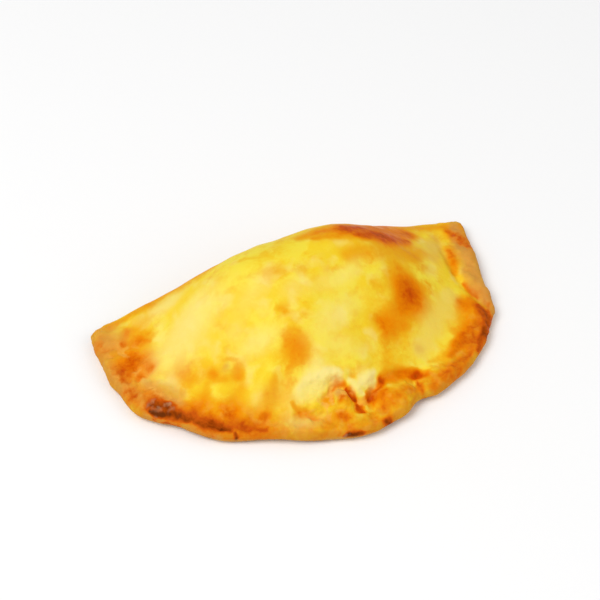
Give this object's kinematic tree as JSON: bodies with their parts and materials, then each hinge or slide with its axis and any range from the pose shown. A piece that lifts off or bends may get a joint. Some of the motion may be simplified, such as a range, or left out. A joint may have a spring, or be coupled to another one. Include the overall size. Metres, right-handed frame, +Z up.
{
  "type": "empanada",
  "caption": "Baked half-moon turnover with a domed golden top, a straight folded back edge and an uneven pinched rim.",
  "frame": {"origin": "middle of the bounding box, on the flat underside", "axes": "+X along the fold, -Y towards the pinched rim, +Z up"},
  "size_m": [0.1414, 0.08, 0.032],
  "materials": {
    "crust": "egg-washed golden crust, satin, browned along the rim"
  },
  "bodies": {
    "root": {"pastry": "crust"}
  },
  "joints": []
}
